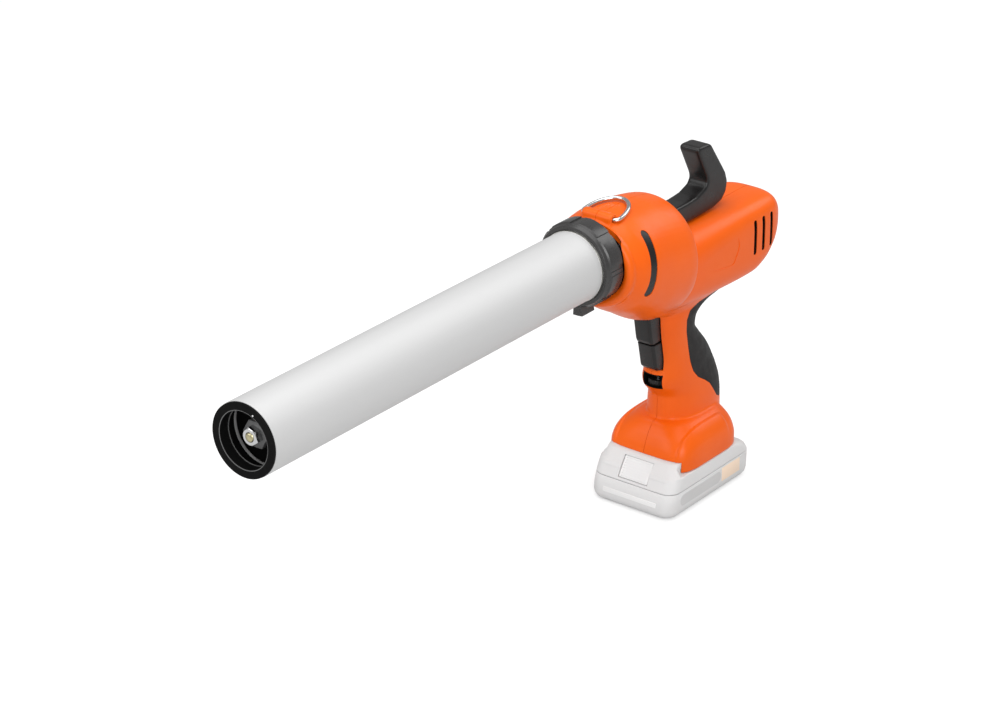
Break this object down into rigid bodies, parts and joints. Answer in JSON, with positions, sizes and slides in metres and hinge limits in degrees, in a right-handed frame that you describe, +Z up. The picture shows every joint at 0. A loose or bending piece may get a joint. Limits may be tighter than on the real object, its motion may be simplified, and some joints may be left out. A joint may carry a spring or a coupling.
{
  "type": "cordless caulking gun",
  "caption": "Battery-powered caulking gun with a tubular barrel, toothed push rod with pull handle, pistol grip with triggers and slide-on battery.",
  "frame": {"origin": "middle of the battery's flat underside, on which the tool stands", "axes": "+Z up; the barrel points along -X; +Y is the tool's right side, seen by the person holding it"},
  "size_m": [0.604, 0.0898, 0.2803],
  "materials": {
    "shell": "orange, fine satin",
    "soft_rubber": "black, fine matt",
    "black_plastic": "black, satin",
    "tube_metal": "satin",
    "steel": "bright zinc plate",
    "brass": "yellow zinc plate and plain bronze",
    "battery_grey": "pale grey, satin",
    "cell_wrap": "wrapped"
  },
  "bodies": {
    "housing": {"housing_left": "shell", "housing_right": "shell", "housing_screw_1": "steel", "housing_screw_2": "steel", "housing_screw_3": "steel", "housing_screw_4": "steel", "housing_screw_5": "steel", "housing_screw_6": "steel", "housing_screw_7": "steel", "soft_grip_left": "soft_rubber", "soft_grip_right": "soft_rubber", "side_insert_left": "black_plastic", "side_insert_right": "black_plastic", "rod_bushing": "black_plastic", "barrel_adaptor": "black_plastic", "frame_plate_left": "steel", "frame_plate_right": "steel", "shaft_bearing_left": "brass", "shaft_bearing_right": "brass", "switch_module": "black_plastic", "motor_can": "steel", "gearbox_case": "steel", "dial_axle": "steel", "terminal_block": "black_plastic"},
    "barrel": {"barrel_tube": "tube_metal"},
    "collar": {"collar_nut": "black_plastic"},
    "ring": {"nozzle_ring": "black_plastic"},
    "cap": {"front_cap": "black_plastic"},
    "rod": {"rack_rod": "steel", "piston": "black_plastic", "piston_nut": "steel", "piston_stud": "brass", "pull_handle": "black_plastic", "handle_pin": "steel"},
    "pinion": {"pinion": "steel", "pinion_shaft": "steel"},
    "rotor": {"motor_rotor": "steel", "motor_fan": "black_plastic"},
    "upper_trigger": {"upper_trigger": "black_plastic"},
    "lower_trigger": {"lower_trigger": "black_plastic"},
    "dial": {"speed_dial": "black_plastic"},
    "hanger": {"d_ring": "steel"},
    "battery": {"battery_tray": "battery_grey", "battery_lid": "battery_grey", "battery_cell_1": "cell_wrap", "battery_cell_2": "cell_wrap", "battery_cell_3": "cell_wrap", "battery_cell_4": "cell_wrap", "battery_cell_5": "cell_wrap"},
    "button": {"battery_button": "battery_grey"}
  },
  "joints": [
    {"name": "barrel_slide", "type": "slide", "parent": "housing", "child": "barrel", "axis": [-1, 0, 0], "range_m": [0, 0.018]},
    {"name": "collar_turn", "type": "hinge", "parent": "barrel", "child": "collar", "pos_m": [-0.131, 0, 0.232], "axis": [-1, 0, 0], "range_deg": [0, 811]},
    {"name": "ring_slide", "type": "slide", "parent": "barrel", "child": "ring", "axis": [-1, 0, 0], "range_m": [0, 0.018]},
    {"name": "cap_turn", "type": "hinge", "parent": "ring", "child": "cap", "pos_m": [-0.49, 0, 0.232], "axis": [-1, 0, 0], "range_deg": [0, 811]},
    {"name": "rod_slide", "type": "slide", "parent": "housing", "child": "rod", "axis": [1, 0, 0], "range_m": [0, 0.32]},
    {"name": "pinion_turn", "type": "hinge", "parent": "housing", "child": "pinion", "pos_m": [-0.074, 0, 0.21795], "axis": [0, 1, 0], "range_deg": [0, 1921]},
    {"name": "rotor_turn", "type": "hinge", "parent": "housing", "child": "rotor", "pos_m": [0.015, 0, 0.19], "axis": [1, 0, 0], "continuous": true},
    {"name": "upper_trigger_pull", "type": "slide", "parent": "housing", "child": "upper_trigger", "axis": [1, 0, 0], "range_m": [0, 0.004], "stiffness_N_per_m": 900, "springref_m": -0.003},
    {"name": "lower_trigger_pull", "type": "slide", "parent": "housing", "child": "lower_trigger", "axis": [1, 0, 0], "range_m": [0, 0.006], "stiffness_N_per_m": 700, "springref_m": -0.003},
    {"name": "dial_turn", "type": "hinge", "parent": "housing", "child": "dial", "pos_m": [-0.0262, 0, 0.0985], "axis": [0, 0, 1], "range_deg": [0, 270]},
    {"name": "hanger_swing", "type": "hinge", "parent": "housing", "child": "hanger", "pos_m": [-0.108, 0, 0.261], "axis": [0, -1, 0], "range_deg": [0, 150]},
    {"name": "battery_slide", "type": "slide", "parent": "housing", "child": "battery", "axis": [-1, 0, 0], "range_m": [0, 0.08]},
    {"name": "button_press", "type": "slide", "parent": "battery", "child": "button", "axis": [1, 0, 0], "range_m": [0, 0.0025], "stiffness_N_per_m": 1200, "springref_m": -0.002}
  ],
  "couplings": [
    {"joint": "collar_turn", "follows": "barrel_slide", "rad_per_m": 785.4},
    {"joint": "cap_turn", "follows": "ring_slide", "rad_per_m": 785.4},
    {"joint": "pinion_turn", "follows": "rod_slide", "rad_per_m": 104.72}
  ]
}
